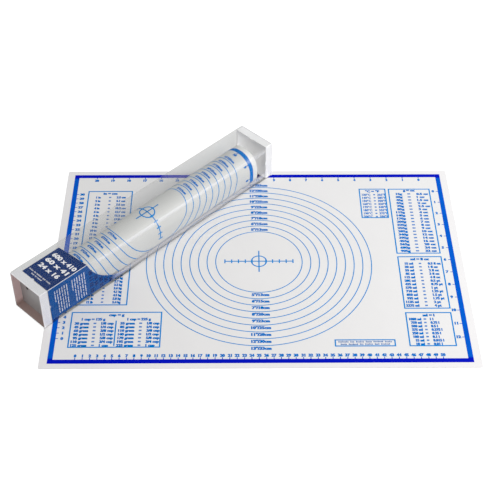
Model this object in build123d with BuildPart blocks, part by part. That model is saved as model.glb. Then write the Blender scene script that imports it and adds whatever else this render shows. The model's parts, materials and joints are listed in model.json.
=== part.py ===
from build123d import *
from math import cos, degrees, pi, radians, sin
import os

# A printed silicone baking mat lying flat, and a second mat of the same kind
# rolled up in its clear square box, which lies across the flat one.
# Millimetres, +Z up. The origin is the centre of the flat mat's underside.

# Driving dimensions of the flat mat
mat_length = 600.0
mat_width = 410.0
mat_corner_radius = 3.0
base_coat_thickness = 0.25
glass_cloth_thickness = 0.20
top_coat_thickness = 0.25

# Driving dimensions of the box. It is as long as the rolled mat needs, and its
# middle's place on the flat mat is a share of the mat's half length and width.
cap_side = 64.5
pocket_depth = 12.8
web_thickness = 1.0
roll_near_gap = 3.2
roll_far_gap = 17.2
lay_gap = 0.3
box_yaw_degrees = 45.5
box_middle_x_share = -0.5363
box_middle_y_share = 0.2616

# What follows from them
mat_thickness = base_coat_thickness + glass_cloth_thickness + top_coat_thickness
half_length = mat_length / 2
half_width = mat_width / 2
plug_end = pocket_depth + web_thickness
box_length = mat_width + roll_near_gap + roll_far_gap + 2 * plug_end

os.makedirs("parts", exist_ok=True)


# The mat's three layers, cut together from one laminate

with BuildPart() as mat_base_coat:
    with BuildSketch(Plane.XY):
        RectangleRounded(mat_length, mat_width, mat_corner_radius)
    extrude(amount=base_coat_thickness)

with BuildPart() as mat_glass_cloth:
    with BuildSketch(Plane.XY.offset(base_coat_thickness)):
        RectangleRounded(mat_length, mat_width, mat_corner_radius)
    extrude(amount=glass_cloth_thickness)

with BuildPart() as mat_top_coat:
    with BuildSketch(Plane.XY.offset(base_coat_thickness + glass_cloth_thickness)):
        RectangleRounded(mat_length, mat_width, mat_corner_radius)
    extrude(amount=top_coat_thickness)


# The print, a raised film of ink on the top coat
ink_thickness = 0.05
border_side_margin = 11.1
border_end_margin = 9.0
border_line_width = 7.2
print_plane = Plane.XY.offset(mat_thickness)
border_length = mat_length - 2 * border_side_margin
border_width = mat_width - 2 * border_end_margin
inner_length = border_length - 2 * border_line_width
inner_width = border_width - 2 * border_line_width

with BuildPart() as border_line:
    with BuildSketch(print_plane):
        Rectangle(border_length, border_width)
        Rectangle(inner_length, inner_width, mode=Mode.SUBTRACT)
    extrude(amount=ink_thickness)

# Rings for rolling dough out to a known diameter, one inch apart, as many as
# fit between the mat's long sides
smallest_circle_diameter = 127.0
circle_diameter_step = 25.4
circle_edge_margin = 20.0
circle_line_width = 1.3
circle_room = inner_width - 2 * circle_edge_margin - smallest_circle_diameter
circle_count = int(circle_room / circle_diameter_step) + 1

with BuildPart() as circle_guides:
    with BuildSketch(print_plane):
        for number in reversed(range(circle_count)):
            diameter = smallest_circle_diameter + number * circle_diameter_step
            Circle((diameter + circle_line_width) / 2)
            Circle((diameter - circle_line_width) / 2, mode=Mode.SUBTRACT)
    extrude(amount=ink_thickness)

# A ten centimetre centring scale, with a ring and a short upright
centre_scale_length = 100.0
centre_scale_step = 10.0
centre_upright_length = 44.0
centre_ring_diameter = 22.0
centre_line_width = 1.8
centre_tick_length = 8.0
centre_tick_count = int(centre_scale_length / centre_scale_step) + 1

with BuildPart() as centre_mark:
    with BuildSketch(print_plane):
        Circle((centre_ring_diameter + centre_line_width) / 2)
        Circle((centre_ring_diameter - centre_line_width) / 2, mode=Mode.SUBTRACT)
        Rectangle(centre_scale_length, centre_line_width)
        Rectangle(centre_line_width, centre_upright_length)
        with GridLocations(centre_scale_step, centre_scale_step, centre_tick_count, 1):
            Rectangle(centre_line_width, centre_tick_length)
    extrude(amount=ink_thickness)

# Rulers of plain ticks, which stand on the inner edge of the border line.
# Each ruler takes as many whole steps as fit between its end margins.
metric_tick_step = 10.0
imperial_tick_step = 25.4
tick_width = 1.2
tick_length = 3.2
long_ruler_end_margin = 27.2
short_ruler_end_margin = 35.8
bottom_ruler_shift = -1.7
top_ruler_shift = 0.5
left_ruler_shift = -0.5
right_ruler_shift = 2.05
long_ruler_room = inner_length - 2 * long_ruler_end_margin
short_ruler_room = inner_width - 2 * short_ruler_end_margin
long_metric_ticks = int(long_ruler_room / metric_tick_step) + 1
long_imperial_ticks = int(long_ruler_room / imperial_tick_step) + 1
short_metric_ticks = int(short_ruler_room / metric_tick_step) + 1
short_imperial_ticks = int(short_ruler_room / imperial_tick_step) + 1
tick_row_y = (inner_width - tick_length) / 2
tick_row_x = (inner_length - tick_length) / 2

with BuildPart() as cm_ruler_bottom:
    with BuildSketch(print_plane):
        with Locations((bottom_ruler_shift, -tick_row_y)):
            with GridLocations(metric_tick_step, metric_tick_step, long_metric_ticks, 1):
                Rectangle(tick_width, tick_length)
    extrude(amount=ink_thickness)

with BuildPart() as inch_ruler_top:
    with BuildSketch(print_plane):
        with Locations((top_ruler_shift, tick_row_y)):
            with GridLocations(imperial_tick_step, imperial_tick_step, long_imperial_ticks, 1):
                Rectangle(tick_width, tick_length)
    extrude(amount=ink_thickness)

with BuildPart() as cm_ruler_left:
    with BuildSketch(print_plane):
        with Locations((-tick_row_x, left_ruler_shift)):
            with GridLocations(metric_tick_step, metric_tick_step, 1, short_metric_ticks):
                Rectangle(tick_length, tick_width)
    extrude(amount=ink_thickness)

with BuildPart() as inch_ruler_right:
    with BuildSketch(print_plane):
        with Locations((tick_row_x, right_ruler_shift)):
            with GridLocations(imperial_tick_step, imperial_tick_step, 1, short_imperial_ticks):
                Rectangle(tick_length, tick_width)
    extrude(amount=ink_thickness)

# Frames of the conversion tables. Each has its left, right, bottom and top
# edge as shares of the mat's half length and half width.
table_line_width = 1.9
table_edge_shares = (
    (-0.8817, -0.6500, 0.0732, 0.7683),
    (-0.8817, -0.6250, -0.4302, 0.0390),
    (-0.8813, -0.4567, -0.8180, -0.4917),
    (0.5267, 0.6667, 0.4546, 0.7868),
    (0.6790, 0.8980, 0.0732, 0.7854),
    (0.6800, 0.8990, -0.4712, 0.0459),
    (0.6807, 0.8983, -0.8146, -0.5039),
    (0.3400, 0.6200, -0.8146, -0.7512),
)
divided_table = 2
divider_length_share = 0.70
divider_place_share = 0.40

with BuildPart() as table_frames:
    with BuildSketch(print_plane):
        for left_share, right_share, bottom_share, top_share in table_edge_shares:
            frame_length = (right_share - left_share) * half_length
            frame_width = (top_share - bottom_share) * half_width
            middle_x = (right_share + left_share) / 2 * half_length
            middle_y = (top_share + bottom_share) / 2 * half_width
            with Locations((middle_x, middle_y)):
                Rectangle(frame_length, frame_width)
                Rectangle(
                    frame_length - 2 * table_line_width,
                    frame_width - 2 * table_line_width,
                    mode=Mode.SUBTRACT,
                )
        left_share, right_share, bottom_share, top_share = table_edge_shares[divided_table]
        frame_width = (top_share - bottom_share) * half_width
        divider_x = (right_share + left_share) / 2 * half_length
        divider_y = (bottom_share * half_width) + divider_place_share * frame_width
        with Locations((divider_x, divider_y)):
            Rectangle(table_line_width, divider_length_share * frame_width)
    extrude(amount=ink_thickness)


# The box's own frame: stations run along its axis from the near end's outer
# face, the section's x points to the back and its y up from the axis.
box_axis = Vector(cos(radians(box_yaw_degrees)), sin(radians(box_yaw_degrees)), 0)
box_back = Vector(-box_axis.Y, box_axis.X, 0)
box_floor = mat_thickness + ink_thickness + lay_gap
box_middle = Vector(
    box_middle_x_share * half_length,
    box_middle_y_share * half_width,
    box_floor + cap_side / 2,
)
box_near_centre = box_middle - box_axis * (box_length / 2)


def box_section(station):
    """Plane square to the box's axis at a station along it."""
    return Plane(origin=box_near_centre + box_axis * station, x_dir=box_back, z_dir=box_axis)


# The clear tube is one sheet, creased along its four long edges and closed by
# a glue flap inside the back wall. Its panels meet at the creases. It is as
# wide as the rims of the end caps, which push into its ends.
tube_wall = 0.4
crease_radius = 0.3
rim_thickness = 1.0
tube_end_gap = 0.2
flap_width = 12.0
flap_end_setback = 16.0
tube_inner = cap_side - 2 * tube_wall
tube_start = rim_thickness + tube_end_gap
tube_length = box_length - 2 * tube_start
panel_offset = (tube_inner + tube_wall) / 2

with BuildPart() as tube_top_panel:
    with BuildSketch(box_section(tube_start)) as top_profile:
        with Locations((0, panel_offset)):
            Rectangle(cap_side, tube_wall)
        fillet(top_profile.vertices().group_by(Axis.Y)[-1], radius=crease_radius)
    extrude(amount=tube_length)

with BuildPart() as tube_bottom_panel:
    with BuildSketch(box_section(tube_start)) as bottom_profile:
        with Locations((0, -panel_offset)):
            Rectangle(cap_side, tube_wall)
        fillet(bottom_profile.vertices().group_by(Axis.Y)[0], radius=crease_radius)
    extrude(amount=tube_length)

with BuildPart() as tube_front_panel:
    with BuildSketch(box_section(tube_start)):
        with Locations((-panel_offset, 0)):
            Rectangle(tube_wall, tube_inner)
    extrude(amount=tube_length)

with BuildPart() as tube_back_panel:
    with BuildSketch(box_section(tube_start)):
        with Locations((panel_offset, 0)):
            Rectangle(tube_wall, tube_inner)
    extrude(amount=tube_length)

with BuildPart() as tube_glue_flap:
    with BuildSketch(box_section(flap_end_setback)):
        with Locations(((tube_inner - tube_wall) / 2, (flap_width - tube_inner) / 2)):
            Rectangle(tube_wall, flap_width)
    extrude(amount=box_length - 2 * flap_end_setback)

# The end caps: a rim as wide as the tube, a plug inside the tube with a pocket
# in its outer end, and a web across the plug's inner end. A rounded lug stands
# on the plug's inner edge at the middle of each side, and a vent goes through
# the web, off its middle.
cap_corner_radius = 0.8
plug_fit = 0.15
plug_wall = 0.9
plug_corner_radius = 1.0
lug_length = 1.6
lug_width = 5.0
vent_diameter = 3.0
vent_across_share = 0.53
vent_height_share = 0.12
plug_side = tube_inner - 2 * plug_fit
pocket_side = plug_side - 2 * plug_wall

with BuildPart() as near_end_cap:
    with BuildSketch(box_section(0)):
        RectangleRounded(cap_side, cap_side, cap_corner_radius)
    extrude(amount=rim_thickness)
    with BuildSketch(box_section(0)):
        RectangleRounded(plug_side, plug_side, plug_corner_radius)
    extrude(amount=plug_end)
    with BuildSketch(box_section(0)):
        RectangleRounded(pocket_side, pocket_side, plug_corner_radius)
    extrude(amount=pocket_depth, mode=Mode.SUBTRACT)
    with BuildSketch(box_section(0)):
        with Locations((vent_across_share * pocket_side / 2, vent_height_share * pocket_side / 2)):
            Circle(vent_diameter / 2)
    extrude(amount=plug_end, mode=Mode.SUBTRACT)
    for outward in (box_back, -box_back, Vector(0, 0, 1), Vector(0, 0, -1)):
        lug_centre = box_near_centre + box_axis * plug_end + outward * (pocket_side / 2)
        with BuildSketch(Plane(origin=lug_centre, x_dir=box_axis, z_dir=outward)):
            Ellipse(lug_length, lug_width / 2)
        extrude(amount=plug_wall)

with BuildPart() as far_end_cap:
    mirror(near_end_cap.part, about=box_section(box_length / 2))

# The label card, folded over the tube's top front edge, with a curved end and
# a notch round each of the near cap's two lugs that it meets
card_thickness = 0.3
card_gap = 0.1
card_end_gap = 0.6
card_lug_gap = 0.4
card_top_length = 69.7
card_top_taper = 4.7
card_back_margin = 8.2
card_front_margin = 4.7
card_tail_length = 75.0
card_tail_width = 0.5
card_curve_length_share = 0.21
card_curve_width_share = 0.165
card_half = tube_inner / 2 - card_gap
card_start = plug_end + card_end_gap
card_top_width = card_half + tube_inner / 2 - card_back_margin
card_front_width = 2 * card_half - card_front_margin
card_front_plane = Plane(
    origin=box_near_centre - box_back * card_half, x_dir=box_axis, z_dir=box_back
)
card_top_plane = Plane(
    origin=box_near_centre + Vector(0, 0, card_half), x_dir=box_axis, z_dir=Vector(0, 0, -1)
)

with BuildPart() as label_card:
    with BuildSketch(card_top_plane):
        with BuildLine():
            Polyline(
                (card_start, card_half),
                (card_start + card_top_length, card_half),
                (card_start + card_top_length - card_top_taper, card_half - card_top_width),
                (card_start, card_half - card_top_width),
                close=True,
            )
        make_face()
        with Locations((plug_end, 0)):
            Ellipse(lug_length + card_lug_gap, lug_width / 2 + card_lug_gap, mode=Mode.SUBTRACT)
    extrude(amount=card_thickness)
    with BuildSketch(card_front_plane):
        with BuildLine():
            top_corner = (card_start + card_top_length, -card_half)
            tail_top = (top_corner[0] + card_tail_length, card_front_width - card_tail_width - card_half)
            tail_foot = (tail_top[0], card_front_width - card_half)
            near_foot = (card_start, card_front_width - card_half)
            curve_pull = (
                top_corner[0] + card_curve_length_share * card_tail_length,
                tail_foot[1] - card_curve_width_share * card_front_width,
            )
            Bezier(top_corner, curve_pull, tail_top)
            Polyline(tail_top, tail_foot, near_foot, (card_start, -card_half), top_corner)
        make_face()
        with Locations((plug_end, 0)):
            Ellipse(lug_length + card_lug_gap, lug_width / 2 + card_lug_gap, mode=Mode.SUBTRACT)
    extrude(amount=card_thickness)

# The rolled mat. It is doubled over before it is rolled, so its middle shows
# outermost: two thicknesses wind inward together from a fold low on the back.
# The turns are sagged round squares, which share their corners' centres.
roll_card_gap = 1.65
roll_back_gap = 5.85
roll_top_gap = 7.7
roll_seat_gap = 0.35
roll_layer_gap = 0.45
fold_from_centre = 48.7
top_back_radius_share = 0.485
top_front_radius_share = 0.485
bottom_front_radius_share = 0.288
bottom_back_radius_share = 0.431
roll_front_gap = card_gap + card_thickness + roll_card_gap
roll_depth = tube_inner - roll_front_gap - roll_back_gap
roll_height = tube_inner - roll_seat_gap - roll_top_gap
roll_least = min(roll_depth, roll_height)
roll_back = tube_inner / 2 - roll_back_gap
roll_bottom = roll_seat_gap - tube_inner / 2
layer_pitch = mat_thickness + roll_layer_gap
turn_pitch = 2 * layer_pitch
fold_radius = mat_thickness + roll_layer_gap / 2
top_back_radius = top_back_radius_share * roll_least
top_front_radius = top_front_radius_share * roll_least
bottom_front_radius = bottom_front_radius_share * roll_least
bottom_back_radius = bottom_back_radius_share * roll_least
fold_height = roll_bottom + bottom_back_radius
outer_layer_length = half_length + fold_from_centre
fold_length = pi * layer_pitch / 2
inner_layer_length = mat_length - outer_layer_length - fold_length


def turn_moves(number):
    """Straights and the bends after them for one turn, counted from outside."""
    inset = number * turn_pitch
    step_up = turn_pitch if number else 0
    return (
        (roll_height - top_back_radius - bottom_back_radius + step_up, top_back_radius - inset),
        (roll_depth - top_back_radius - top_front_radius, top_front_radius - inset),
        (roll_height - top_front_radius - bottom_front_radius, bottom_front_radius - inset),
        (
            roll_depth - bottom_front_radius - bottom_back_radius,
            bottom_back_radius - inset - turn_pitch,
        ),
    )


def wound_moves(length, depth):
    """Straights, bend radii and bend angles of a layer of this length, whose
    middle lies at this depth below the roll's outermost face."""
    moves = []
    turn = 0
    while length > 0:
        for straight, radius in turn_moves(turn):
            run = min(straight, length)
            length = length - run
            bend = min(pi / 2, length / (radius - depth))
            length = length - bend * (radius - depth)
            moves.append((run, radius, bend))
            if length <= 0:
                break
        turn = turn + 1
    return moves


def wind(moves, depth):
    """Lay one face of the sheet at its depth, and give the point it ends on."""
    here = Vector(roll_back - depth, fold_height)
    heading = Vector(0, 1)
    for run, radius, bend in moves:
        here = PolarLine(here, run, direction=heading) @ 1
        if bend > 0:
            arc = JernArc(here, heading, radius - depth, degrees(bend))
            here = arc @ 1
            heading = arc % 1
    return here


with BuildPart() as rolled_mat:
    with BuildSketch(box_section(plug_end + roll_near_gap)):
        with BuildLine():
            outer_moves = wound_moves(outer_layer_length, mat_thickness / 2)
            inner_moves = wound_moves(inner_layer_length, layer_pitch + mat_thickness / 2)
            Line(wind(outer_moves, 0), wind(outer_moves, mat_thickness))
            Line(
                wind(inner_moves, layer_pitch),
                wind(inner_moves, layer_pitch + mat_thickness),
            )
            fold_centre = (roll_back - fold_radius, fold_height)
            CenterArc(fold_centre, fold_radius, 180, 180)
            CenterArc(fold_centre, roll_layer_gap / 2, 180, 180)
        make_face()
    extrude(amount=mat_width)

sheet_area = rolled_mat.part.volume / mat_width
print(f"rolled sheet: {sheet_area / mat_thickness:.2f} mm long, mat {mat_length:.2f} mm")
print(f"least clear gap between its layers: {roll_layer_gap:.2f} mm")


pieces = {
    "mat_base_coat": mat_base_coat,
    "mat_glass_cloth": mat_glass_cloth,
    "mat_top_coat": mat_top_coat,
    "border_line": border_line,
    "circle_guides": circle_guides,
    "centre_mark": centre_mark,
    "cm_ruler_bottom": cm_ruler_bottom,
    "cm_ruler_left": cm_ruler_left,
    "inch_ruler_top": inch_ruler_top,
    "inch_ruler_right": inch_ruler_right,
    "table_frames": table_frames,
    "tube_top_panel": tube_top_panel,
    "tube_bottom_panel": tube_bottom_panel,
    "tube_front_panel": tube_front_panel,
    "tube_back_panel": tube_back_panel,
    "tube_glue_flap": tube_glue_flap,
    "label_card": label_card,
    "near_end_cap": near_end_cap,
    "far_end_cap": far_end_cap,
    "rolled_mat": rolled_mat,
}
for name, piece in pieces.items():
    piece.part.label = name
    export_step(piece.part, f"parts/{name}.step")
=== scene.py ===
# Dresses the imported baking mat, and the rolled one in its clear box, for the
# photograph. Lengths are millimetres unless a name says otherwise.
import json
from functools import cache
from itertools import groupby
from math import ceil, cos, hypot, pi, radians, sin

import bpy
from mathutils import Matrix, Vector


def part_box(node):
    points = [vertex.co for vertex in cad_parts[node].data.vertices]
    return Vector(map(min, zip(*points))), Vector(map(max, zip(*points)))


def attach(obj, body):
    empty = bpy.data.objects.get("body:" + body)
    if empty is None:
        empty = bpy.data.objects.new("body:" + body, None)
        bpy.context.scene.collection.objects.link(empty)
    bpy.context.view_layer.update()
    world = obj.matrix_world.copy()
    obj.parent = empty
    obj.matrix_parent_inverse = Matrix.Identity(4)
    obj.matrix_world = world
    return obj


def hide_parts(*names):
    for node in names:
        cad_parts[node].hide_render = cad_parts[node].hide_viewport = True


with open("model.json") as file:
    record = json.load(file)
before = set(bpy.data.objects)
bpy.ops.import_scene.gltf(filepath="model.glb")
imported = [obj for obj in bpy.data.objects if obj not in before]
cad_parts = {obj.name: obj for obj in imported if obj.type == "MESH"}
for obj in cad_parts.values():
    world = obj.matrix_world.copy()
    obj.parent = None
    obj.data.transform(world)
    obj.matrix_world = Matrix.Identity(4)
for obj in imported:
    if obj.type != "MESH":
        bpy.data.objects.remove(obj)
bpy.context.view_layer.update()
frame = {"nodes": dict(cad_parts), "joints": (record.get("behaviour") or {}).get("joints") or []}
MM = 0.001
upward = Vector((0, 0, 1))


# Sizes read from the frame
def cad_box(node):
    low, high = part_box(node)
    return low / MM, high / MM


mat_low = cad_box("mat_base_coat")[0]
mat_high = cad_box("mat_top_coat")[1]
half_length = mat_high.x
half_width = mat_high.y
mat_thickness = mat_high.z - mat_low.z
border_half_length, border_half_width, _ = cad_box("border_line")[1]
near_low, near_high = cad_box("near_end_cap")
far_low, far_high = cad_box("far_end_cap")
joint_axes = {joint["name"]: Vector(joint["axis"]) for joint in frame["joints"]}
box_axis = joint_axes["far_cap_pull"]
box_back = Vector((-box_axis.y, box_axis.x, 0))
cap_side = near_high.z - near_low.z
box_length = (far_high.x - near_low.x - cap_side * box_axis.y) / box_axis.x
box_middle = (near_low + near_high + far_low + far_high) / 4
box_near_centre = box_middle - box_axis * (box_length / 2)

# Sizes shared with part.py
mat_corner_radius = 3.0
border_line_width = 7.2
tick_length = 3.2
tube_half = cap_side / 2
tube_wall = 0.4
tube_start = 1.2
tube_inner_half = tube_half - tube_wall
flap_end_setback = 16.0
flap_rise = 4.6
flap_shown = 7.4
flap_gap = 0.05
plug_end = 13.8
lug_notch_length = 2.0
lug_notch_half = 2.9
card_half = tube_inner_half - 0.1
card_thickness = 0.3
card_start = 14.4
card_top_length = 69.7
card_top_taper = 4.7
card_tail_length = 75.0
card_back_margin = 8.2
card_front_margin = 4.7
roll_start = 17.0
roll_front = 29.8
roll_back = 26.0
roll_top = 24.15
roll_bottom = 31.5
layer_gap = 0.45
fold_from_centre = 48.7
roll_least = roll_top + roll_bottom
roll_radii = (0.485, 0.485, 0.288, 0.431)
layer_pitch = mat_thickness + layer_gap
turn_pitch = 2 * layer_pitch
ring_line_width = 1.3
centre_line_width = 1.8
tick_width = 1.2

# The weave of the glass cloth
thread_pitch = 0.9

# Where a cap's looks fade into each other, the painted light and shade of its pocket and
# the painted shade round its vent among them: across or up from the box's axis, up
# from it, along it from the near end, and out from the vent
pocket_rim = (31.0, 31.4)
pocket_floor = (-30.6, -22.0)
pocket_web = (11.6, 12.4)
vent_shade = (2.3, 3.2)


# Materials, whose noises have scales per metre
def new_material(name):
    material = bpy.data.materials.new(name)
    material.use_nodes = True
    tree = material.node_tree
    tree.nodes.clear()
    return material, tree


def add_node(tree, kind, *values, **properties):
    """A node of this kind with its first inputs filled in. An output is linked,
    a number or colour is set, and None leaves an input as it is."""
    node = tree.nodes.new("ShaderNode" + kind)
    for name, value in properties.items():
        setattr(node, name, value)
    for value, socket in zip(values, node.inputs):
        if isinstance(value, bpy.types.NodeSocket):
            tree.links.new(value, socket)
        elif value is not None:
            socket.default_value = value
    return node


def compute(tree, operation, *values):
    return add_node(tree, "Math", *values, operation=operation).outputs[0]


def mix_shaders(tree, share, first, second):
    return add_node(tree, "MixShader", share, first, second).outputs[0]


def principled(tree, roughness, specular):
    shader = add_node(tree, "BsdfPrincipled")
    shader.inputs["Roughness"].default_value = roughness
    shader.inputs["Specular IOR Level"].default_value = specular
    add_node(tree, "OutputMaterial", shader.outputs[0])
    return shader


def noise(tree, place, scale, detail):
    return add_node(tree, "TexNoise", place, None, scale, detail).outputs["Fac"]


def spread(tree, value, low, high, start=0.3, end=0.7, course="LINEAR"):
    """Remap a value that runs from start to end, such as a noise's, onto a range."""
    node = add_node(tree, "MapRange", value, start, end, low, high, interpolation_type=course)
    return node.outputs["Result"]


def mix_colours(tree, share, first, second):
    """Mix two colours, each an output socket or four numbers."""
    unused = [None] * 5
    return add_node(tree, "Mix", share, *unused, first, second, data_type="RGBA").outputs[2]


def blend_colours(tree, share, first, second):
    return mix_colours(tree, share, (*first, 1), (*second, 1))


def bump(tree, height, distance, strength):
    node = add_node(tree, "Bump", strength, distance)
    tree.links.new(height, node.inputs["Height"])
    return node.outputs["Normal"]


def own_place(tree):
    return add_node(tree, "TexCoord").outputs["Object"]


def mottled(tree, value, colour, least):
    """A colour that a noise darkens in places, down to this share of it."""
    darker = tuple(channel * least for channel in colour)
    return blend_colours(tree, spread(tree, value, 0, 1), darker, colour)


def metres(lengths):
    return [length * MM for length in lengths]


def silicone_material(name, colour, specular):
    """Satin silicone over woven glass: threads both ways, faint clouding."""
    material, tree = new_material(name)
    shader = principled(tree, 0.5, specular)
    place = add_node(tree, "UVMap", uv_map="sheet").outputs["UV"]
    clouds = noise(tree, place, 14.0, 3.0)
    tint = mottled(tree, clouds, colour, 0.975)
    tree.links.new(tint, shader.inputs["Base Color"])
    tree.links.new(spread(tree, clouds, 0.44, 0.56), shader.inputs["Roughness"])
    # At scale 1 the texture's waves lie 2 pi / 20 apart
    wave_scale = 2 * pi / 20 / (thread_pitch * MM)
    threads = [
        add_node(tree, "TexWave", place, wave_scale, bands_direction=direction).outputs["Fac"]
        for direction in ("X", "Y")
    ]
    weave = compute(tree, "MULTIPLY", *threads)
    tree.links.new(bump(tree, weave, 0.04 * MM, 0.5), shader.inputs["Normal"])
    return material


def ink_material(name, colour, long_side_colour=None):
    """Printed film: slightly uneven cover, satin. The long sides of the border
    line are darker than its short sides."""
    material, tree = new_material(name)
    shader = principled(tree, 0.5, 0.02)
    place = own_place(tree)
    cover = noise(tree, place, 60.0, 4.0)
    tint = mottled(tree, cover, colour, 0.85)
    if long_side_colour is not None:
        y = add_node(tree, "SeparateXYZ", place).outputs["Y"]
        side = (border_half_width - border_line_width) * MM
        along = spread(tree, compute(tree, "ABSOLUTE", y), 0, 1, side - 4 * MM, side)
        tint = mix_colours(tree, along, tint, (*long_side_colour, 1))
    tree.links.new(tint, shader.inputs["Base Color"])
    tree.links.new(spread(tree, cover, 0.4, 0.55), shader.inputs["Roughness"])
    return material


def card_material(name, colour):
    """Coated card with a little fibre in its print."""
    material, tree = new_material(name)
    shader = principled(tree, 0.3, 0.08)
    place = own_place(tree)
    fibre = noise(tree, place, 900.0, 3.0)
    patches = noise(tree, place, 25.0, 2.0)
    tint = mottled(tree, patches, colour, 0.85)
    tree.links.new(tint, shader.inputs["Base Color"])
    tree.links.new(spread(tree, patches, 0.3, 0.4), shader.inputs["Roughness"])
    tree.links.new(bump(tree, fibre, 0.03 * MM, 0.4), shader.inputs["Normal"])
    return material


def box_level(tree, place, direction, middle=0.0):
    """A point's distance along a direction of the box, from its near end's centre."""
    along = add_node(tree, "VectorMath", place, direction, operation="DOT_PRODUCT")
    start = (box_near_centre.dot(direction) + middle) * MM
    return compute(tree, "SUBTRACT", along.outputs["Value"], start)


def outside_pocket(tree, place):
    """One on a cap's outer faces and nought inside its pocket and on its web."""
    reaches = [
        compute(tree, "ABSOLUTE", box_level(tree, place, direction))
        for direction in (box_back, upward)
    ]
    larger = compute(tree, "MAXIMUM", *reaches)
    return spread(tree, larger, 0, 1, *metres(pocket_rim))


def moulded_material(name, colour, band_glow, web_glow, pocket=None, vent=None):
    """Injection-moulded plastic: satin, fine orange peel, faint flow clouding.
    Light comes through its thin web, its pocket can take painted light and shade
    (a warm lit wall, a shaded web and floor), and painted shade darkens round a vent."""
    material, tree = new_material(name)
    shader = principled(tree, 0.35, 0.5)
    place = own_place(tree)
    flow = noise(tree, place, 22.0, 3.0)
    peel = noise(tree, place, 700.0, 2.0)
    tint = mottled(tree, flow, colour, 0.94)
    outside = outside_pocket(tree, place)
    if pocket is not None:
        wall, web, floor = pocket
        deep = spread(tree, box_level(tree, place, box_axis), 0, 1, *metres(pocket_web))
        risen = spread(tree, box_level(tree, place, upward), 0, 1, *metres(pocket_floor))
        # painted light and shade in the pocket: a warm lit wall, a dark web and a brown floor
        inner = blend_colours(tree, risen, floor, wall)
        inner = mix_colours(tree, deep, inner, (*web, 1))
        tint = mix_colours(tree, outside, inner, tint)
    if vent is not None:
        # painted shade in the vent's hole, near black round its middle
        away = add_node(tree, "VectorMath", place, vent * MM, operation="DISTANCE")
        unshaded = spread(tree, away.outputs["Value"], 0, 1, *metres(vent_shade))
        tint = mix_colours(tree, unshaded, (0.004, 0.004, 0.004, 1), tint)
    tree.links.new(tint, shader.inputs["Base Color"])
    tree.links.new(spread(tree, flow, 0.3, 0.42), shader.inputs["Roughness"])
    glow = spread(tree, outside, web_glow, band_glow, 0, 1)
    tree.links.new(glow, shader.inputs["Subsurface Weight"])
    shader.inputs["Subsurface Radius"].default_value = (1.0, 0.97, 0.97)
    shader.inputs["Subsurface Scale"].default_value = 0.02
    tree.links.new(bump(tree, peel, 0.04 * MM, 0.5), shader.inputs["Normal"])
    return material


def worn_line(tree, place, across, up, half, start, end):
    """One along the middle of a band of the tube, and nought away from it."""
    squares = []
    for direction, middle in ((box_back, across), (upward, up)):
        level = box_level(tree, place, direction, middle)
        squares.append(compute(tree, "MULTIPLY", level, level))
    reach = compute(tree, "SQRT", compute(tree, "ADD", *squares))
    shown = spread(tree, reach, 1, 0, 0, half * MM, "SMOOTHSTEP")
    station = box_level(tree, place, box_axis)
    for edge, fade in ((start, 8), (end, -4)):
        on = spread(tree, station, 0, 1, (edge - fade) * MM, (edge + fade) * MM)
        shown = compute(tree, "MULTIPLY", shown, on)
    return shown


# Whitened bands of the tube: a painted highlight along the front top fold, and painted
# light that lifts the shade seen through the lower front and the back wall. Across and
# up from the box's axis, half width, first and last station, haze. They are two lines
# by the front folds and the back wall.
bands_end = box_length - 16.0
painted_light_bands = (
    (-31.3, 25.2, 6.0, 100.0, bands_end, 0.12),
    (-31.9, -22.5, 8.0, 130.0, bands_end, 0.2),
    (32.0, 4.0, 34.0, 40.0, bands_end, 0.10),
)
# The front bottom fold, which is seen along its sheet and holds back light. Its darker
# tint is partly the fold's own grey and partly a painted contact shadow.
dark_fold = (-31.9, -31.9, 4.0, 190.0, box_length - 70.0)
shading_fold = (-31.9, -31.9, 9.0, 130.0, box_length - 20.0)


def clear_material(name, tint, fold_and_shadow_tint, shadow_tint, fold_shadow_tint, haze):
    """Thin clear sheet: light passes straight through, the surface shines, and
    bands of it are a little whitened as a painted highlight and painted light."""
    material, tree = new_material(name)
    place = own_place(tree)
    # darker tint along the front bottom fold: the fold's own grey and a painted contact shadow
    passed = blend_colours(tree, worn_line(tree, place, *dark_fold), tint, fold_and_shadow_tint)
    through = add_node(tree, "BsdfTransparent", passed).outputs[0]
    shading = worn_line(tree, place, *shading_fold)
    shadow = blend_colours(tree, shading, shadow_tint, fold_shadow_tint)
    lighter = add_node(tree, "BsdfTransparent", shadow).outputs[0]
    cloud = add_node(tree, "BsdfDiffuse", (0.9, 0.9, 0.95, 1)).outputs[0]
    ripple = bump(tree, noise(tree, place, 9.0, 1.0), 0.6 * MM, 0.1)
    shine = add_node(tree, "BsdfGlossy", (1, 1, 1, 1), 0.28)
    tree.links.new(ripple, shine.inputs["Normal"])
    edge_on = add_node(tree, "LayerWeight", 0.5, ripple)
    steep = compute(tree, "POWER", edge_on.outputs["Facing"], 5.0)
    fresnel = compute(tree, "MULTIPLY_ADD", steep, 0.42, 0.007)
    # painted highlight and painted light: the bands whiten the sheet
    for *band, band_haze in painted_light_bands:
        haze = compute(tree, "MULTIPLY_ADD", worn_line(tree, place, *band), band_haze, haze)
    hazy = mix_shaders(tree, haze, through, cloud)
    shiny = mix_shaders(tree, fresnel, hazy, shine.outputs[0])
    shadow_ray = add_node(tree, "LightPath").outputs["Is Shadow Ray"]
    add_node(tree, "OutputMaterial", mix_shaders(tree, shadow_ray, shiny, lighter))
    return material


silicone_face = silicone_material("silicone_face", (0.705, 0.70, 0.70), 0.4)
silicone_margin = silicone_material("silicone_margin", (0.735, 0.725, 0.73), 0.4)
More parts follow.
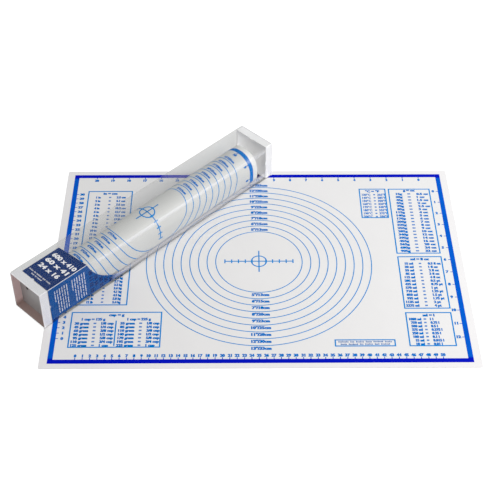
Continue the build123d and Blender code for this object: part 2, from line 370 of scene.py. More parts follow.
# The rolled mat is the flat mat's silicone, given darker as a shaded copy
rolled_face_shaded = silicone_material("rolled_face_shaded", (0.575, 0.58, 0.57), 0.10)
rolled_margin_shaded = silicone_material("rolled_margin_shaded", (0.70, 0.70, 0.69), 0.12)
dark_ink = ink_material("dark_ink", (0.0, 0.10, 0.54))
border_ink = ink_material("border_ink", (0.0, 0.095, 0.56), (0.0, 0.005, 0.43))
light_ink = ink_material("light_ink", (0.0, 0.23, 0.62))
text_ink = ink_material("text_ink", (0.0, 0.16, 0.54))
navy_card = card_material("navy_card", (0.0, 0.028, 0.15))
blue_card = card_material("blue_card", (0.0, 0.075, 0.30))
# The card's own white on its edges and underside, and a painted highlight along its crease
white_card_and_fold_highlight = card_material("white_card_and_fold_highlight", (0.80, 0.80, 0.80))
white_ink = card_material("white_ink", (0.94, 0.93, 0.95))
deep_ink = card_material("deep_ink", (0.0, 0.02, 0.13))
vent_depth, vent_across, vent_rise = 13.3, 16.3, 3.7
near_vent = box_near_centre + box_axis * vent_depth + box_back * vent_across + upward * vent_rise
# The near cap's pocket: painted warm light on its wall, painted shade on its web and floor
near_pocket_light_and_shade = ((0.92, 0.73, 0.72), (0.42, 0.41, 0.41), (0.46, 0.34, 0.31))
# The caps are one plastic: the near one is a shaded copy, darker and with no light through it, and
# the far one a lit copy, brighter and with light through its web
near_plastic_shaded = moulded_material(
    "near_plastic_shaded", (0.775, 0.775, 0.80), 0, 0, pocket=near_pocket_light_and_shade, vent=near_vent
)
far_plastic_lit = moulded_material("far_plastic_lit", (0.94, 0.94, 0.95), 0.3, 0.8)
clear_sheet = clear_material(
    "clear_sheet",
    tint=(0.96, 0.962, 0.96),
    fold_and_shadow_tint=(0.84, 0.84, 0.86),
    shadow_tint=(0.94, 0.94, 0.94),
    fold_shadow_tint=(0.1, 0.1, 0.1),
    haze=0.003,
)


# Pieces
def new_object(name, data):
    """An object with this data, linked to the scene."""
    thing = bpy.data.objects.new(name, data)
    bpy.context.scene.collection.objects.link(thing)
    return thing


def add_piece(name, points, faces, materials, body, choose=None, uv=None):
    """A mesh piece from millimetre points, which rides on a body."""
    mesh = bpy.data.meshes.new(name)
    mesh.from_pydata([Vector(point) * MM for point in points], [], faces)
    if uv is not None:
        layer = mesh.uv_layers.new(name="sheet")
        for loop in mesh.loops:
            layer.data[loop.index].uv = Vector(uv[loop.vertex_index]) * MM
    for material in materials:
        mesh.materials.append(material)
    if choose is not None:
        for polygon in mesh.polygons:
            polygon.material_index = choose(polygon.vertices)
    mesh.update()
    piece = new_object(name, mesh)
    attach(piece, body)
    return piece


def ring_quads(low, high, count, inward=False):
    """Faces between two closed rows of this many points, by their first numbers."""
    pairs = [(i, (i + 1) % count) for i in range(count)]
    if inward:
        return [(low + i, high + i, high + j, low + j) for i, j in pairs]
    return [(low + i, low + j, high + j, high + i) for i, j in pairs]


def smooth_by_angle(piece, angle):
    for polygon in piece.data.polygons:
        polygon.use_smooth = True
    piece.data.set_sharp_from_angle(angle=angle)


letter_stroke = 0.05
double_strike = 0.05
strike_lift = 0.004


@cache
def glyphs(text, stroke=letter_stroke):
    """Points, faces and width of a word in the built-in font, at its own size."""
    curve = bpy.data.curves.new("word", "FONT")
    curve.body = text
    curve.resolution_u = 2
    curve.offset = stroke
    holder = bpy.data.objects.new("word", curve)
    mesh = bpy.data.meshes.new_from_object(holder)
    points = [(v.co.x, v.co.y) for v in mesh.vertices]
    faces = [list(polygon.vertices) for polygon in mesh.polygons]
    bpy.data.objects.remove(holder)
    bpy.data.curves.remove(curve)
    bpy.data.meshes.remove(mesh)
    low = min(x for x, _ in points)
    high = max(x for x, _ in points)
    return [(x - low, y) for x, y in points], faces, high - low


digit_points = glyphs("0")[0]
digit_foot = min(y for _, y in digit_points)
digit_height = max(y for _, y in digit_points) - digit_foot


class PrintLayer:
    """Flat shapes in a sheet's own millimetres, raised into thin closed slabs."""

    def __init__(self):
        self.points = []
        self.lifts = []
        self.faces = []

    def add(self, points, faces, lift=0.0):
        base = len(self.points)
        self.points += points
        self.lifts += [lift] * len(points)
        self.faces += [[base + index for index in face] for face in faces]

    def write(
        self, text, x, y, height, align=0.5, stretch=1.0, stroke=letter_stroke, strike=double_strike
    ):
        """Text centred on y, with its left, middle or right at x. It is struck
        twice, a share of its height apart, so that it reads bold."""
        points, faces, width = glyphs(text, stroke)
        scale = height / digit_height
        wide = scale * stretch
        shift = x - align * width * wide
        drop = digit_foot + digit_height / 2
        for number, side in enumerate((-1, 1) if strike else (0,)):
            start = shift + side * strike * height
            struck = [(start + px * wide, y + (py - drop) * scale) for px, py in points]
            self.add(struck, faces, number * strike_lift)

    def ribbon(self, line, width):
        """A band of this width along a line of points."""
        points = []
        for number, (x, y) in enumerate(line):
            back_x, back_y = line[max(number - 1, 0)]
            next_x, next_y = line[min(number + 1, len(line) - 1)]
            reach = hypot(next_x - back_x, next_y - back_y)
            side_x = -(next_y - back_y) / reach * width / 2
            side_y = (next_x - back_x) / reach * width / 2
            points += [(x + side_x, y + side_y), (x - side_x, y - side_y)]
        faces = [(i, i + 1, i + 3, i + 2) for i in range(0, 2 * len(line) - 2, 2)]
        self.add(points, faces)

    def build(self, name, place, low, high, material, body):
        count = len(self.points)
        points = [place(x, y, high + lift) for (x, y), lift in zip(self.points, self.lifts)]
        points += [place(x, y, low) for x, y in self.points]
        faces = [tuple(face) for face in self.faces]
        faces += [tuple(count + index for index in reversed(face)) for face in self.faces]
        edges = set()
        for face in self.faces:
            edges.update(zip(face, face[1:] + face[:1]))
        for first, second in sorted(edges):
            if (second, first) not in edges:
                faces.append((first, count + first, count + second, second))
        return add_piece(name, points, faces, [material], body)


def printed(name, fill, place, low, high, material, body, slot):
    """A piece of print, whose shapes the fill function adds to its layer."""
    layer = PrintLayer()
    fill(layer)
    return layer.build(name, place, low, high, material, body)


def spaced(start, end, step):
    """Numbers from start to end in even steps no longer than this one."""
    count = max(1, ceil(abs(end - start) / step))
    return [start + (end - start) * number / count for number in range(count + 1)]


corner_signs = ((1, 1), (-1, 1), (-1, -1), (1, -1))


def rounded_outline(half_x, half_y, radii, steps):
    """Counter-clockwise outline with a radius for each corner, the first of them
    at positive x and y."""
    outline = []
    for quarter, ((sign_x, sign_y), radius) in enumerate(zip(corner_signs, radii)):
        for number in range(steps + 1):
            angle = radians(90 * (quarter + number / steps))
            x = sign_x * (half_x - radius) + radius * cos(angle)
            y = sign_y * (half_y - radius) + radius * sin(angle)
            outline.append((x, y))
    return outline


# The flat mat: one sheet with softened cut edges
def flat_sheet():
    edge = 0.12
    steps = 5
    levels = ((0, edge), (edge, 0), (mat_thickness - edge, 0), (mat_thickness, edge))
    points = []
    for height, inset in levels:
        radii = [mat_corner_radius - inset] * 4
        outline = rounded_outline(half_length - inset, half_width - inset, radii, steps)
        points += [(x, y, height) for x, y in outline]
    count = 4 * (steps + 1)
    faces = [tuple(reversed(range(count)))]
    for level in range(len(levels) - 1):
        faces += ring_quads(level * count, (level + 1) * count, count)
    inner_x = border_half_length - border_line_width / 2
    inner_y = border_half_width - border_line_width / 2
    first_inner = len(points)
    points += [(x * inner_x, y * inner_y, mat_thickness) for x, y in corner_signs]
    top = 3 * count
    for corner in range(4):
        first = top + corner * (steps + 1)
        fan = [first + number for number in range(steps + 1)]
        faces += [(fan[k], fan[k + 1], first_inner + corner) for k in range(steps)]
        after = top + ((corner + 1) * (steps + 1)) % count
        faces.append((fan[-1], after, first_inner + (corner + 1) % 4, first_inner + corner))
    faces.append(tuple(range(first_inner, first_inner + 4)))
    inner = set(range(first_inner, first_inner + 4))
    piece = add_piece(
        "flat_mat",
        points,
        faces,
        [silicone_face, silicone_margin],
        "mat",
        choose=lambda corners: 0 if set(corners) == inner else 1,
        uv=[(x, y) for x, y, _ in points],
    )
    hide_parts("mat_base_coat", "mat_glass_cloth", "mat_top_coat")
    return piece


flat_mat = flat_sheet()

# The print, in the mat's own millimetres
smallest_ring = 5
ring_count = 9
inch = 25.4
label_x = 1.4
label_gap = 4.7
label_height = 5.8
digit_tall = 5.6
table_text_tall = 5.2
heading_tall = table_text_tall * 1.05
heading_stretch = 1.05
bottom_ruler_start = -251.7
bottom_digits_y = -182.3
top_ruler_start = 254.5
top_digits_y = 182.4
left_ruler_start = -150.5
left_digits_x = -273.2
right_ruler_start = 154.9
right_digits_x = 274.0
bottom_marks = [bottom_ruler_start + 10 * number for number in range(51)]
top_marks = [top_ruler_start - inch * number for number in range(21)]
kilograms_in_pound = 0.4536
grams_in_ounce = 28.35
millilitres_in_fluid_ounce = 28.41
millilitres_in_pint = 568.3


def ring_labels(layer, height=label_height, stretch=1.05):
    for number in range(ring_count):
        inches = smallest_ring + number
        centimetres = round(inches * inch / 10)
        radius = inches * inch / 2
        for side in (1, -1):
            y = side * (radius + label_gap)
            layer.write(f'{inches}"/{centimetres}cm', label_x, y, height, stretch=stretch)


def long_ruler_digits(layer, start=-half_length, end=half_length):
    for marks, y in ((bottom_marks, bottom_digits_y), (top_marks, top_digits_y)):
        for number, x in enumerate(marks):
            if start < x < end:
                layer.write(str(number), x, y, digit_tall, stretch=0.9)


def short_ruler_digits(layer):
    for number in range(31):
        layer.write(str(number), left_digits_x, left_ruler_start + 10 * number, digit_tall)
    for number in range(13):
        layer.write(str(number), right_digits_x, right_ruler_start - inch * number, digit_tall)


def table(layer, edges, heading, drops, columns, rows, stretch=1.0, strike=double_strike):
    """A heading and rows of a number and unit, an equals sign, and again, inside
    the left, right and top edge of a frame."""
    left, right, top = edges
    heading_drop, first_drop, row_pitch = drops
    if heading:
        middle = (left + right) / 2
        layer.write(heading, middle, top - heading_drop, heading_tall, stretch=heading_stretch)
    places = [left + share * (right - left) for share in columns]
    for number, (first, second) in enumerate(rows):
        y = top - first_drop - row_pitch * number
        for word, x, align in zip((first, "=", second), places, (1.0, 0.5, 0.0)):
            layer.write(word, x, y, table_text_tall, align, stretch, strike=strike)


def rounded_to(value, step):
    return int(round(value / step)) * step


def table_rows(layer):
    inches = [(f"{n} in", f"{n * inch / 10:.1f} cm") for n in range(1, 17)]
    edges = (-264.5, -195.0, 157.5)
    table(layer, edges, "in = cm", (6, 15, 8.4), (0.29, 0.50, 0.65), inches, 0.8)
    pounds = [(f"{n} lb", f"{n * kilograms_in_pound:.1f} kg") for n in range(1, 13)]
    edges = (-264.5, -187.5, 8.0)
    table(layer, edges, "lb = kg", (6, 14, 6.9), (0.36, 0.53, 0.72), pounds, 0.75)
    ounces = [0.5, 1, 1.5, 2, 2.5, 3, 4, 5, 6, 7, 8, 9, 10, 12, 14, 16, 20, 24, 32]
    weights = [(f"{rounded_to(n * grams_in_ounce, 5)}g", f"{n:g} oz") for n in ounces]
    edges = (203.7, 269.4, 161.0)
    table(layer, edges, "g = oz", (4, 12.3, 7.1), (0.33, 0.485, 0.665), weights, 1.15)
    degrees = [(f"{n}°C", f"{rounded_to(n * 1.8 + 32, 5)}°F") for n in range(130, 210, 10)]
    edges = (158.0, 200.0, 161.0)
    table(layer, edges, "°C = °F", (6, 14, 7.2), (0.42, 0.56, 0.67), degrees, 0.85, 0)
    volumes = []
    for unit, size, numbers in (
        ("fl oz", millilitres_in_fluid_ounce, (0.5, 1, 2, 3, 4)),
        ("pt", millilitres_in_pint, (0.5, 0.75, 1, 1.25, 1.5, 1.75, 2, 4)),
    ):
        volumes += [(f"{rounded_to(n * size, 5)} ml", f"{n:g} {unit}") for n in numbers]
    edges = (204.0, 269.7, 9.4)
    table(layer, edges, "ml = fl oz", (6, 15.2, 7.05), (0.335, 0.49, 0.665), volumes, 0.9)
    litres = [(f"{n} ml", f"{n / 1000:g} l") for n in (1000, 750, 500, 375, 250, 100, 15, 10)]
    edges = (204.0, 269.5, -103.0)
    table(layer, edges, "ml = l", (6, 13.5, 6.6), (0.33, 0.41, 0.52), litres, 0.85)
    cup_table(layer, -264.4, -137.0)


def cup_table(layer, left, right):
    """Two halves under one heading, each with its own weight of a cup."""
    cups = ["1/8", "1/4", "3/8", "1/2", "5/8", "3/4", "1"]
    middle = (left + right) / 2
    rows_top, heading_y, weight_y = -100.8, -106.6, -114.8
    layer.write("cup = g", middle, heading_y, heading_tall, stretch=heading_stretch)
    for start, end, grams in ((left, middle, 125), (middle, right, 225)):
        rows = [
            (f"{rounded_to((2 + number) * grams / 8, 5)} gram", f"{share} cup")
            for number, share in enumerate(cups)
        ]
        drops, columns = (14, 21.8, 6.8), (0.41, 0.54, 0.68)
        table(layer, (start, end, rows_top), "", drops, columns, rows, 0.95)
        weight = f"1 cup = {grams} g"
        layer.write(weight, (start + end) / 2, weight_y, table_text_tall, stretch=0.95)


def greeked_line(layer, start, end, across, tall, words):
    """A line of small text shown as plain strokes, in words of these shares."""
    gap_share = 0.28
    pitch = tall * 0.62
    stroke = tall * 0.30
    whole = sum(words) + gap_share * (len(words) - 1)
    scale = (end - start) / whole
    here = start
    for word in words:
        count = max(2, round(word * abs(scale) / pitch))
        for number in range(count):
            x = here + word * scale * (number + 0.5) / count
            rise = tall * (0.5 if number % 3 else 0.66)
            layer.ribbon([(x, across - tall / 2), (x, across - tall / 2 + 1.5 * rise)], stroke)
        middle = across - tall * 0.12 * (-1) ** round(word * 10)
        layer.ribbon([(here, middle), (here + word * scale, middle)], stroke * 0.8)
        here += (word + gap_share) * scale


def note_lines(layer):
    greeked_line(layer, 107, 181, -158.3, 3.0, (2.0, 0.8, 1.6, 1.2, 1.9, 1.4))
    greeked_line(layer, 110, 178, -162.8, 3.0, (1.2, 1.8, 0.7, 1.5, 0.9, 1.7))


def mat_point(x, y, lift):
    return x, y, mat_thickness + lift


# Undersides and tops of the printed films, above their sheet
mat_film = (0, 0.045)
roll_film = (0.01, 0.1)
card_film = (0.01, 0.05)
mat_print = [
    printed(name, fill, mat_point, *mat_film, text_ink, "mat", "dark_ink")
    for name, fill in (
        ("ring_labels", ring_labels),
        ("long_ruler_digits", long_ruler_digits),
        ("short_ruler_digits", short_ruler_digits),
        ("table_text", table_rows),
        ("note_lines", note_lines),
    )
]


def box_point(station, across, height):
    """Station from the near end's face, across to the back, height above the axis."""
    return box_near_centre + box_axis * station + box_back * across + upward * height


# The rolled mat, wound as part.py winds it
def moved(across, up, heading, radius, run):
    """Place and heading after a run along a bend, or straight on where radius is 0."""
    if radius == 0:
        return across + run * cos(heading), up + run * sin(heading), heading
    turned = heading + run / radius
    x = across + radius * (sin(turned) - sin(heading))
    y = up - radius * (cos(turned) - cos(heading))
    return x, y, turned


class Winding:
    """Mid-line of one layer of the rolled sheet, in the box's section."""

    def __init__(self, length, depth):
        self.parts = []
        self.length = length
        radii = [share * roll_least for share in roll_radii]
        depth_across = roll_front + roll_back
        across = roll_back - depth
        up = radii[3] - roll_bottom
        heading = pi / 2
        travelled = 0.0
        turn = 0
        while travelled < length:
            inset = turn * turn_pitch
            step_up = turn_pitch if turn else 0
            moves = (
                (roll_least - radii[0] - radii[3] + step_up, radii[0] - inset),
                (depth_across - radii[0] - radii[1], radii[1] - inset),
                (roll_least - radii[1] - radii[2], radii[2] - inset),
                (depth_across - radii[2] - radii[3], radii[3] - inset - turn_pitch),
            )
            for straight, outer_radius in moves:
                bend = outer_radius - depth
                for radius, run in ((0, straight), (bend, bend * pi / 2)):
                    self.parts.append((travelled, across, up, heading, radius, run))
                    across, up, heading = moved(across, up, heading, radius, run)
                    travelled += run
            turn += 1

    def at(self, distance):
        """Place and outward direction of the mid-line at this distance along it."""
        part = next(p for p in reversed(self.parts) if p[0] <= distance + 1e-9)
        travelled, across, up, heading, radius, _ = part
        x, y, heading = moved(across, up, heading, radius, distance - travelled)
        return x, y, sin(heading), -cos(heading)

    def distances(self, degrees_step):
        found = []
        for travelled, _, _, _, radius, length in self.parts:
            end = min(travelled + length, self.length)
            if travelled >= self.length:
                break
            step = length if radius == 0 else radius * radians(degrees_step)
            found += spaced(travelled, end, step)[:-1]
        return found + [self.length]


outer_layer = Winding(half_length + fold_from_centre, mat_thickness / 2)
fold_length = pi * layer_pitch / 2
inner_layer = Winding(
    2 * half_length - outer_layer.length - fold_length, layer_pitch + mat_thickness / 2
)


def rolled_sheet():
    """Profile rows of (printed face, back face, mat x), wound end to end."""
    half = mat_thickness / 2
    fold_steps = 8
    rows = []

    def add_row(x, y, out_x, out_y, face, back, mat_x):
        sides = [(x + reach * out_x, y + reach * out_y) for reach in (face, back)]
        rows.append((*sides, mat_x))

    for distance in reversed(outer_layer.distances(degrees_step=5)):
        add_row(*outer_layer.at(distance), half, -half, distance - fold_from_centre)
    fold_radius = mat_thickness + layer_gap / 2
    fold_x = roll_back - fold_radius
    fold_y = roll_radii[3] * roll_least - roll_bottom
    for number in range(1, fold_steps):
        angle = -pi * number / fold_steps
        mat_x = -fold_from_centre - fold_length * number / fold_steps
        add_row(fold_x, fold_y, cos(angle), sin(angle), fold_radius, layer_gap / 2, mat_x)
    for distance in inner_layer.distances(degrees_step=6):
        mat_x = -fold_from_centre - fold_length - distance
        add_row(*inner_layer.at(distance), -half, half, mat_x)
    return rows


def roll_piece():
    rows = rolled_sheet()
    border_y = border_half_width - border_line_width / 2
    stations = [-half_width, *spaced(-border_y, border_y, 40), half_width]
    loop = [(row[0], row[2]) for row in rows] + [(row[1], row[2]) for row in reversed(rows)]
    count = len(loop)
    points, uv = [], []
    for y in stations:
        for (across, up), mat_x in loop:
            points.append(box_point(roll_start + half_width + y, across, up))
            uv.append((mat_x, y))
    faces = []
    for level in range(len(stations) - 1):
        faces += ring_quads(level * count, (level + 1) * count, count, True)
    last = (len(stations) - 1) * count
    for i in range(len(rows) - 1):
        far = count - 1 - i
        faces.append((i, i + 1, far - 1, far))
        faces.append((last + far, last + far - 1, last + i + 1, last + i))
    margin = border_y - 0.01
    piece = add_piece(
        "rolled_sheet",
        points,
        faces,
        [rolled_face_shaded, rolled_margin_shaded],
        "roll",
        choose=lambda corners: int(all(abs(uv[c][1]) > margin for c in corners)),
        uv=uv,
    )
    smooth_by_angle(piece, radians(40))
    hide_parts("rolled_mat")
    return piece


rolled_mat = roll_piece()
shown_turn_end = outer_layer.parts[8][0] - fold_from_centre


def roll_point(x, y, lift):
    across, up, out_x, out_y = outer_layer.at(max(0.0, x + fold_from_centre))
    out = mat_thickness / 2 + lift
    return box_point(roll_start + half_width + y, across + out * out_x, up + out * out_y)


def roll_lines(layer, width, shapes):
    """Lines of this width in the mat's millimetres, where they lie on the outer turn."""
    for shape in shapes:
        runs = groupby(shape, lambda point: -fold_from_centre <= point[0] <= shown_turn_end)
        for shown, run in runs:
            line = list(run)
            if shown and len(line) > 1:
                layer.ribbon(line, width)


def roll_border(layer):
    rows = spaced(-fold_from_centre, shown_turn_end, 1.5)
    middle = border_half_width - border_line_width / 2
    roll_lines(layer, border_line_width, [[(x, side * middle) for x in rows] for side in (1, -1)])


def roll_rings(layer):
    rings = []
    for number in range(ring_count):
        radius = (smallest_ring + number) * inch / 2
        steps = ceil(2 * pi * radius / 1.5)
        angles = [2 * pi * step / steps for step in range(steps // 2, steps // 2 + steps + 1)]
        rings.append([(radius * cos(a), radius * sin(a)) for a in angles])
    roll_lines(layer, ring_line_width, rings)


def roll_centre(layer):
    reach, cross, tick, ring = 50, 22, 4, 11
    lines = [[(x, 0) for x in spaced(-47.0, reach, 1.5)], [(0, -cross), (0, cross)]]
    lines += [[(x, -tick), (x, tick)] for x in range(-40, reach + 1, 10)]
    lines.append([(ring * cos(a), ring * sin(a)) for a in spaced(0, 2 * pi, 0.12)])
    roll_lines(layer, centre_line_width, lines)


def roll_ticks(layer):
    edge = border_half_width - border_line_width
    ticks = [[(x, -edge), (x, tick_length - edge)] for x in bottom_marks]
    ticks += [[(x, edge - tick_length), (x, edge)] for x in top_marks]
    roll_lines(layer, tick_width, ticks)


def roll_ring_labels(layer):
    ring_labels(layer, 4.4, 1.0)


def roll_digits(layer):
    long_ruler_digits(layer, -fold_from_centre, shown_turn_end)


roll_print = [
    printed(name, fill, roll_point, *roll_film, material, "roll", slot)
    for name, fill, material, slot in (
        ("roll_border", roll_border, text_ink, "dark_ink"),
        ("roll_rings", roll_rings, light_ink, "light_ink"),
        ("roll_centre_mark", roll_centre, light_ink, "light_ink"),
        ("roll_ticks", roll_ticks, text_ink, "dark_ink"),
        ("roll_ring_labels", roll_ring_labels, text_ink, "dark_ink"),
        ("roll_digits", roll_digits, text_ink, "dark_ink"),
    )
]


# The clear tube: one folded sheet with its glue flap. Its folds are sharp at
# the caps and where the card stiffens them, and relax in between.
sharp_fold = 0.7
corner_steps = 8
greatest_swell = 0.8
swell_run = 7


def eased(value, start, end):
    """From 0 to 1, softly, as value goes from start to end."""
    share = min(max((value - start) / (end - start), 0.0), 1.0)
    return share * share * (3 - 2 * share)


def fold_radii(station):
    """Outer radius of the back-top, front-top, front-bottom and back-bottom fold."""
    closing = 1 - eased(station, box_length - 55, box_length - 18)
    folds = ((0.9, 20, 60), (9.5, 86, 112), (5.0, 150, 190), (1.6, 20, 60))
    return [
        sharp_fold + (relaxed - sharp_fold) * eased(station, start, end) * closing
        for relaxed, start, end in folds
    ]


def tube_outline(half, radii, less, swell):
    """Section of the tube, whose back top corner stands out by the swell."""
    outline = rounded_outline(half, half, [radius - less for radius in radii], corner_steps)
    swollen = corner_steps + 1
    return [(x + swell, y + swell) for x, y in outline[:swollen]] + outline[swollen:]


def clear_tube():
    stations = spaced(tube_start, box_length - tube_start, 9)
    count = 4 * (corner_steps + 1)
    points, faces = [], []
    for station in stations:
        radii = fold_radii(station)
        near_share = eased(station, -swell_run, swell_run)
        far_share = eased(station, box_length - swell_run, box_length + swell_run)
        swell = greatest_swell * min(near_share, 1 - far_share)
        outline = tube_outline(tube_half, radii, 0, swell)
        outline += tube_outline(tube_inner_half, radii, tube_wall, swell)
        points += [box_point(station, across, up) for across, up in outline]
    for level in range(len(stations) - 1):
        near = 2 * count * level
        far = near + 2 * count
        faces += ring_quads(near, far, count)
        faces += ring_quads(near + count, far + count, count, True)
    faces += ring_quads(0, count, count, True)
    faces += ring_quads(far, far + count, count)
    flap_out = tube_inner_half - flap_gap
    flap_in = flap_out - tube_wall
    flap_foot = flap_rise - tube_inner_half
    flap_top = flap_foot + flap_shown
    base = len(points)
    flap = ((flap_in, flap_foot), (flap_out, flap_foot), (flap_out, flap_top), (flap_in, flap_top))
    for station in (flap_end_setback, box_length - flap_end_setback):
        points += [box_point(station, across, up) for across, up in flap]
    sides = ((0, 1, 5, 4), (1, 2, 6, 5), (2, 3, 7, 6), (3, 0, 4, 7), (3, 2, 1, 0), (4, 5, 6, 7))
    faces += [tuple(base + index for index in side) for side in sides]
    piece = add_piece("clear_tube", points, faces, [clear_sheet], "tube")
    smooth_by_angle(piece, radians(35))
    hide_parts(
        "tube_top_panel",
        "tube_bottom_panel",
        "tube_front_panel",
        "tube_back_panel",
        "tube_glue_flap",
    )


clear_tube()

# The label card, in its own unfolded millimetres: t across the fold, back to
# front, and the station along the box
fold_radius = 1.4
fold_half = fold_radius * pi / 4
fold_centre = card_half - fold_radius
card_back_edge = -(tube_inner_half - card_back_margin + fold_centre + fold_half)
card_front_edge = fold_half + fold_centre + card_half - card_front_margin
card_fold_end = card_start + card_top_length


def card_point(t, station, lift):
    reach = fold_radius + lift
    if t < -fold_half:
        across, up = -fold_half - t - fold_centre, fold_centre + reach
    elif t > fold_half:
        across, up = -fold_centre - reach, fold_centre - (t - fold_half)
    else:
        angle = (t + fold_half) / fold_radius
        across, up = -fold_centre - reach * sin(angle), fold_centre + reach * cos(angle)
    return box_point(station, across, up)


def card_edges(station):
    """Back and front edge of the card at a station, with its curved tail."""
    if station <= card_fold_end - card_top_taper:
        return card_back_edge, card_front_edge
    if station <= card_fold_end:
        share = (card_fold_end - station) / card_top_taper
        return card_back_edge * share, card_front_edge
    # The tail's edge is a curve drawn towards one point: a share along and across
    pull, pulled = 0.21, 0.835 * card_front_edge
    share = (station - card_fold_end) / card_tail_length
    step = (((pull**2) + (1 - 2 * pull) * share) ** 0.5 - pull) / (1 - 2 * pull)
    edge = 2 * step * (1 - step) * pulled + step**2 * (card_front_edge - 0.5)
    return edge, card_front_edge


lug_places = (-fold_half - fold_centre, fold_half + fold_centre)


def card_near_edge(t):
    """Where the card starts, with a notch round each lug of the cap."""
    start = card_start
    for place in lug_places:
        share = (t - place) / lug_notch_half
        if abs(share) < 1:
            start = max(start, plug_end + lug_notch_length * (1 - share * share) ** 0.5)
    return start


def card_piece():
    top_end = card_fold_end - card_top_taper
    notch_end = plug_end + lug_notch_length + 0.2
    stations = spaced(card_start, notch_end, 0.5) + spaced(notch_end, top_end, 12)[1:]
    stations += spaced(top_end, card_fold_end, 1.2)[1:]
    stations += spaced(card_fold_end, card_fold_end + card_tail_length, 2.5)[1:]
    fold_highlight_half = 0.35
    across = spaced(card_back_edge, -fold_half, 12) + spaced(-fold_half, -fold_highlight_half, 0.3)[1:]
    across += [fold_highlight_half] + spaced(fold_highlight_half, fold_half, 0.3)[1:]
    across += spaced(fold_half, card_front_edge, 6)[1:]
    for place in lug_places:
        across += spaced(place - lug_notch_half, place + lug_notch_half, 0.6)
    across.sort()
    points, flat = [], []
    for station in stations:
        low, high = card_edges(station)
        for t in across:
            held = min(max(t, low), high)
            place = max(station, card_near_edge(held))
            points.append(card_point(held, place, 0))
            points.append(card_point(held, place, -card_thickness))
            flat.append(held)
    width = len(across)
    faces, kinds = [], []

    def quad(corners, kind):
        kept = {}
        for corner in corners:
            kept.setdefault(tuple(round(value, 4) for value in points[corner]), corner)
        if len(kept) > 2:
            faces.append(tuple(kept.values()))
            kinds.append(kind)

    for i in range(len(stations) - 1):
        for j in range(width - 1):
            a, b = 2 * (i * width + j), 2 * (i * width + j + 1)
            c, d = b + 2 * width, a + 2 * width
            middle = (flat[a // 2] + flat[b // 2]) / 2
            # the strip along the crease is a painted highlight of the fold
            kind = 2 if abs(middle) < fold_highlight_half else (0 if middle < 0 else 1)
            quad((a, b, c, d), kind)
            quad((a + 1, d + 1, c + 1, b + 1), 2)
    for i in range(len(stations) - 1):
        a, d = 2 * i * width, 2 * (i + 1) * width
        quad((a, d, d + 1, a + 1), 2)
        a, d = a + 2 * (width - 1), d + 2 * (width - 1)
        quad((a, a + 1, d + 1, d), 2)
    last = 2 * (len(stations) - 1) * width
    for j in range(width - 1):
        a, b = 2 * j, 2 * (j + 1)
        quad((a, a + 1, b + 1, b), 2)
        quad((last + a, last + b, last + b + 1, last + a + 1), 2)
    piece = add_piece(
        "printed_card", points, faces, [navy_card, blue_card, white_card_and_fold_highlight], "tube"
    )
    for polygon, kind in zip(piece.data.polygons, kinds):
        polygon.material_index = kind
    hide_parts("label_card")


card_piece()


def card_front_t(height_above_floor):
    """The unfolded place of a height on the card's front, above the mat."""
    return fold_half + fold_centre - (height_above_floor - box_near_centre.z)


def card_top_t(across):
    return -fold_half - fold_centre - across


headline_stroke = 0.045
headline_tall = 8.4


def card_headlines(layer):
    for text, station, back, front in (
        ("600 x 410", 66.1, 19.2, -28.8),
        ("60 x 41", 53.6, 19.2, -26.8),
        ("24 x 16", 40.6, 17.7, -23.3),
    ):
        width = glyphs(text, headline_stroke)[2]
        stretch = (back - front) / width / (headline_tall / digit_height)
        middle = card_top_t((back + front) / 2)
        layer.write(text, middle, station, headline_tall, 0.5, stretch, headline_stroke, strike=0)
    greeked_line(layer, card_top_t(21.1), card_top_t(-24.7), 25.3, 2.4, (1.4, 0.6, 1.8, 0.9, 1.5))
    greeked_line(layer, card_top_t(11.3), card_top_t(-10.8), 20.9, 2.2, (1.1, 0.7, 1.6))


def card_side_lines(layer):
    """Two blocks of six lines down the front, the first of each a short one."""
    words = ((1.5, 0.8, 1.9, 1.1), (0.9, 1.7, 1.2, 0.6, 1.4), (1.8, 1.1, 1.6, 0.8))
    top_height, short_foot, foot, tall = 55.8, 35, 11, 1.8
    for first, pitch in ((25.1, 4.2), (55.7, 4.3)):
        for number in range(6):
            start = card_front_t(top_height)
            end = card_front_t(foot if number else short_foot)
            greeked_line(layer, start, end, first + pitch * number, tall, words[number % 3])


def card_tail_marks(layer):
    """Numbers in rows that follow the tail's curved edge."""
    first_station, pitch, inset, row_pitch, margin, tall = 88.0, 8.5, 8, 11.5, 4, 6.4
    for number in range(5):
        station = first_station + pitch * number
        edge = card_edges(station)[0]
        for row in range(4):
            t = edge + inset + row_pitch * row
            if t < card_front_edge - margin:
                layer.write(str(10 + 5 * number + row), t, station, tall, stretch=1.1)


for name, fill, material in (
    ("card_headlines", card_headlines, white_ink),
    ("card_side_lines", card_side_lines, white_ink),
    ("card_tail_marks", card_tail_marks, deep_ink),
):
    printed(name, fill, card_point, *card_film, material, "tube", "card")


# CAD nodes that stay: the rest of the print, and the two caps
ink_nodes = {
    "border_line": border_ink,
    "circle_guides": light_ink,
    "centre_mark": light_ink,
    "cm_ruler_bottom": dark_ink,
    "cm_ruler_left": dark_ink,
    "inch_ruler_top": dark_ink,
    "inch_ruler_right": dark_ink,
    "table_frames": light_ink,
}
caps = {"near_end_cap": near_plastic_shaded, "far_end_cap": far_plastic_lit}
for name, material in {**ink_nodes, **caps}.items():
    node = frame["nodes"][name]
    node.data.materials.clear()
    node.data.materials.append(material)
for name in caps:
    bevel = frame["nodes"][name].modifiers.new("softened", "BEVEL")
    bevel.width = 0.25 * MM
    bevel.segments = 2
    bevel.limit_method = "ANGLE"
    bevel.angle_limit = radians(50)
    bevel.harden_normals = False


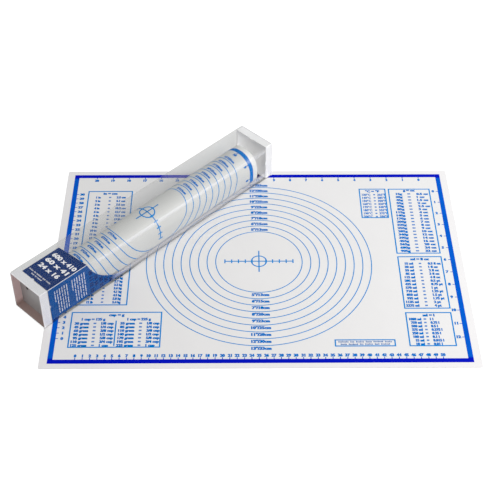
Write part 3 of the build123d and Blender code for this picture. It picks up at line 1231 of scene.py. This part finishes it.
# Floor, light and camera
def seen_rays(tree):
    """One for camera, glossy and transmission rays, and nought for the rest."""
    path = add_node(tree, "LightPath")
    seen = path.outputs["Is Camera Ray"]
    for name in ("Is Glossy Ray", "Is Transmission Ray"):
        seen = compute(tree, "MAXIMUM", seen, path.outputs[name])
    return seen


def floor_material():
    """White floor that keeps the object's shadow and reads white when lit. Seen
    through the clear tube its glow drops to a light grey, a painted shade behind the tube."""
    material, tree = new_material("studio_floor")
    depth = add_node(tree, "LightPath").outputs["Transparent Depth"]
    # painted shade: the glow falls to a light grey where the floor is seen through the clear tube
    level = compute(tree, "MULTIPLY", seen_rays(tree), spread(tree, depth, 0.88, 0.43, 0, 1))
    shade = add_node(tree, "BsdfDiffuse", (0.35, 0.35, 0.35, 1))
    glow = add_node(tree, "Emission", (1, 1, 1, 1), level)
    total = add_node(tree, "AddShader", shade.outputs[0], glow.outputs[0])
    add_node(tree, "OutputMaterial", total.outputs[0])
    return material


floor_half_m = 4.0
floor_drop_m = -0.0002
floor_mesh = bpy.data.meshes.new("studio_floor")
floor_corners = [(x * floor_half_m, y * floor_half_m, floor_drop_m) for x, y in corner_signs]
floor_mesh.from_pydata(floor_corners, [], [(0, 1, 2, 3)])
floor_mesh.materials.append(floor_material())
floor = new_object("studio_floor", floor_mesh)


def area_light(name, place, target, size, power, colour=(1, 1, 1)):
    """A round light at a place, aimed at a target, all in metres and watts."""
    data = bpy.data.lights.new(name, "AREA")
    data.shape = "DISK"
    data.size = size
    data.energy = power
    data.color = colour
    lamp = new_object(name, data)
    lamp.location = place
    aim = Vector(target) - Vector(place)
    lamp.rotation_euler = aim.to_track_quat("-Z", "Y").to_euler()


area_light("key_right", (1.6, 0.15, 1.6), (0, 0, 0), 2.3, 44)
area_light("low_right", (1.4, -0.4, 0.16), (0, 0.05, 0.03), 0.3, 9)
area_light("warm_low", (0.15, -0.95, 0.12), (-0.33, -0.1, 0.03), 0.5, 0.6, (1, 0.55, 0.5))

world = bpy.data.worlds.new("studio")
bpy.context.scene.world = world
world.use_nodes = True
world_tree = world.node_tree
world_tree.nodes.clear()
lit = add_node(world_tree, "Background", (1, 1, 0.995, 1), 0.58).outputs[0]
seen_white = add_node(world_tree, "Background", (1, 1, 1, 1), 1.0).outputs[0]
shown = mix_shaders(world_tree, seen_rays(world_tree), lit, seen_white)
add_node(world_tree, "OutputWorld", shown)

view_azimuth = radians(-0.4813)
view_elevation = radians(43.9734)
view_roll = radians(0.1546)
view_distance = 1752.62
view_target = Vector((-12.989, 24.527, 0))
lens_mm = 84.99
view_back = Vector(
    (
        sin(view_azimuth) * cos(view_elevation),
        -cos(view_azimuth) * cos(view_elevation),
        sin(view_elevation),
    )
)
level_right = Vector((cos(view_azimuth), sin(view_azimuth), 0))
level_up = view_back.cross(level_right)
view_right = level_right * cos(view_roll) + level_up * sin(view_roll)
view_up = level_up * cos(view_roll) - level_right * sin(view_roll)
eye = (view_target + view_back * view_distance) * MM
camera_data = bpy.data.cameras.new("camera")
camera_data.lens = lens_mm
camera_data.sensor_width = 36.0
camera = new_object("camera", camera_data)
turn = Matrix((view_right, view_up, view_back)).transposed()
camera.matrix_world = Matrix.Translation(eye) @ turn.to_4x4()
bpy.context.scene.camera = camera
bpy.context.scene.view_settings.view_transform = "Standard"
